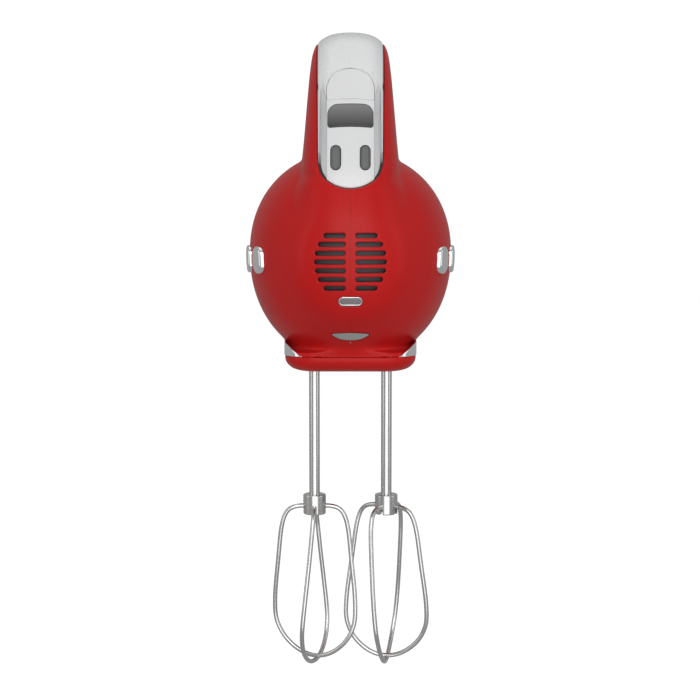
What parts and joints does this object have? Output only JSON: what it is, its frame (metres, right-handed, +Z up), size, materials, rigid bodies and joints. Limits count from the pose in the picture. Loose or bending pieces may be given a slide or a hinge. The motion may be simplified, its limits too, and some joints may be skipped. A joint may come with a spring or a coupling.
{
  "type": "hand mixer",
  "caption": "Hand mixer with a round glossy body, closed handle with a silver front panel, vented nose and wire beaters hanging below.",
  "frame": {"origin": "on the foot's underside, midway between the two beater axes", "axes": "+Z up along the beater axes, away from the beaters; -Y the way the nose points; +X to the right of someone looking at the nose"},
  "size_m": [0.1006, 0.2045, 0.3072],
  "materials": {
    "red_shell": "high gloss, moulded",
    "silver_panel": "metallised, soft gloss",
    "chrome_trim": "bright plated",
    "black_seal": "satin",
    "dark_window": "smoked, gloss",
    "grey_button": "satin",
    "grey_plaque": "satin",
    "steel_wire": "polished stainless steel",
    "steel_part": "turned",
    "pale_collar": "satin",
    "white_nylon": "moulded",
    "black_plastic": "fine texture",
    "copper": "enamelled wire",
    "lamination": "stacked sheets",
    "bronze": "sintered",
    "carbon": "matt",
    "board_green": "solder mask",
    "capacitor_yellow": "moulded",
    "rubber_foot": "matt",
    "foot_red": "high gloss, moulded"
  },
  "bodies": {
    "housing": {"housing_left": "red_shell", "housing_right": "red_shell", "foot": "foot_red", "foot_band_left": "chrome_trim", "foot_band_right": "chrome_trim", "socket_collars": "pale_collar", "nose_plaque": "grey_plaque", "nose_plaque_rim": "chrome_trim", "nose_lens_trim": "grey_plaque", "side_studs_left": "chrome_trim", "side_studs_right": "chrome_trim", "control_panel": "silver_panel", "handle_top_strip": "silver_panel", "handle_gasket": "black_seal", "display_window": "dark_window", "ejector_spring": "steel_part", "gearbox_frame": "black_plastic", "gearbox_cover": "black_plastic", "worm_support": "black_plastic", "worm_front_bush": "bronze", "lower_bushes": "bronze", "upper_bushes": "bronze", "motor_stator": "lamination", "field_coils": "copper", "motor_bracket_front": "black_plastic", "motor_bracket_rear": "black_plastic", "motor_bearings": "bronze", "brush_holders": "bronze", "carbon_brushes": "carbon", "control_board": "board_green", "display_module": "black_plastic", "button_switches": "black_plastic", "capacitor": "capacitor_yellow", "heel_plate": "black_plastic", "heel_pad": "rubber_foot", "cord_inlet_bush": "black_plastic", "housing_screws": "steel_part"},
    "armature": {"armature_shaft": "steel_part", "armature_core": "lamination", "armature_windings": "copper", "commutator": "copper", "cooling_fan": "white_nylon"},
    "spindle_left": {"spindle_left": "white_nylon"},
    "spindle_right": {"spindle_right": "white_nylon"},
    "pin_left": {"ejector_pin_left": "steel_part"},
    "pin_right": {"ejector_pin_right": "steel_part"},
    "beater_left": {"beater_stem_left": "steel_wire", "beater_ferrule_left": "steel_wire", "beater_loop_wide_left": "steel_wire", "beater_loop_cross_left": "steel_wire"},
    "beater_right": {"beater_stem_right": "steel_wire", "beater_ferrule_right": "steel_wire", "beater_loop_wide_right": "steel_wire", "beater_loop_cross_right": "steel_wire"},
    "eject_pad": {"eject_pad": "silver_panel"},
    "ejector": {"ejector_rod": "white_nylon", "ejector_yoke": "white_nylon"},
    "button_left": {"speed_button_left": "grey_button"},
    "button_right": {"speed_button_right": "grey_button"}
  },
  "joints": [
    {"name": "armature_spin", "type": "hinge", "parent": "housing", "child": "armature", "pos_m": [0, 0, 0.04], "axis": [0, 1, 0], "continuous": true},
    {"name": "spindle_left_spin", "type": "hinge", "parent": "housing", "child": "spindle_left", "pos_m": [-0.0174, 0, 0.04], "axis": [0, 0, 1], "continuous": true},
    {"name": "spindle_right_spin", "type": "hinge", "parent": "housing", "child": "spindle_right", "pos_m": [0.0174, 0, 0.04], "axis": [0, 0, 1], "continuous": true},
    {"name": "eject_press", "type": "slide", "parent": "housing", "child": "eject_pad", "axis": [0, 0.8368, -0.5476], "range_m": [0, 0.0035], "stiffness_N_per_m": 2500, "springref_m": -0.001},
    {"name": "ejector_slide", "type": "slide", "parent": "housing", "child": "ejector", "axis": [0, 0, -1], "range_m": [0, 0.0035], "deforming": ["ejector_spring"]},
    {"name": "pin_left_slide", "type": "slide", "parent": "spindle_left", "child": "pin_left", "axis": [0, 0, -1], "range_m": [0, 0.0035]},
    {"name": "pin_right_slide", "type": "slide", "parent": "spindle_right", "child": "pin_right", "axis": [0, 0, -1], "range_m": [0, 0.0035]},
    {"name": "beater_left_pull", "type": "slide", "parent": "pin_left", "child": "beater_left", "axis": [0, 0, -1], "range_m": [0, 0.045]},
    {"name": "beater_right_pull", "type": "slide", "parent": "pin_right", "child": "beater_right", "axis": [0, 0, -1], "range_m": [0, 0.045]},
    {"name": "button_left_press", "type": "slide", "parent": "housing", "child": "button_left", "axis": [0, 1, 0], "range_m": [0, 0.001], "stiffness_N_per_m": 600, "springref_m": -0.0005},
    {"name": "button_right_press", "type": "slide", "parent": "housing", "child": "button_right", "axis": [0, 1, 0], "range_m": [0, 0.001], "stiffness_N_per_m": 600, "springref_m": -0.0005}
  ],
  "couplings": [
    {"joint": "spindle_left_spin", "follows": "armature_spin", "ratio": -0.076923},
    {"joint": "spindle_right_spin", "follows": "armature_spin", "ratio": 0.076923},
    {"joint": "ejector_slide", "follows": "eject_press", "ratio": 1},
    {"joint": "pin_left_slide", "follows": "eject_press", "ratio": 1},
    {"joint": "pin_right_slide", "follows": "eject_press", "ratio": 1}
  ]
}
